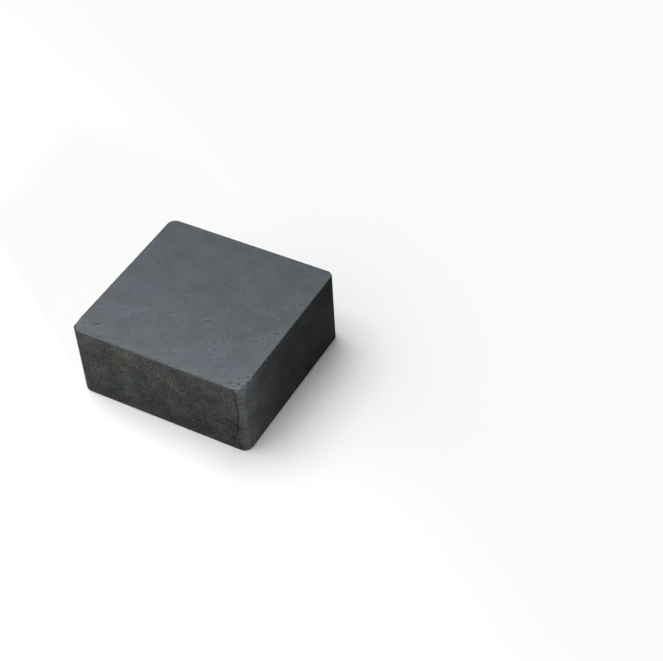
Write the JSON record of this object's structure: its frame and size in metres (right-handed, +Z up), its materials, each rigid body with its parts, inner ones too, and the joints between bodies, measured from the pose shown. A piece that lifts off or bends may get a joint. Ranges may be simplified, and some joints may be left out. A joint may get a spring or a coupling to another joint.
{
  "type": "block magnet",
  "caption": "Dark ferrite block magnet with rounded upright corners, ground flat pole faces, a chipped top edge and a hairline crack beside one corner.",
  "frame": {"origin": "middle of the underside, which is the lower pole face", "axes": "+X along the longer side, +Y along the other side, +Z up, from pole face to pole face"},
  "size_m": [0.05, 0.047, 0.022],
  "materials": {
    "ferrite": "sintered ferrite, dark grey: satin where the two pole faces are ground, matt and speckled on the pressed sides"
  },
  "bodies": {
    "root": {"ferrite_block": "ferrite"}
  },
  "joints": []
}
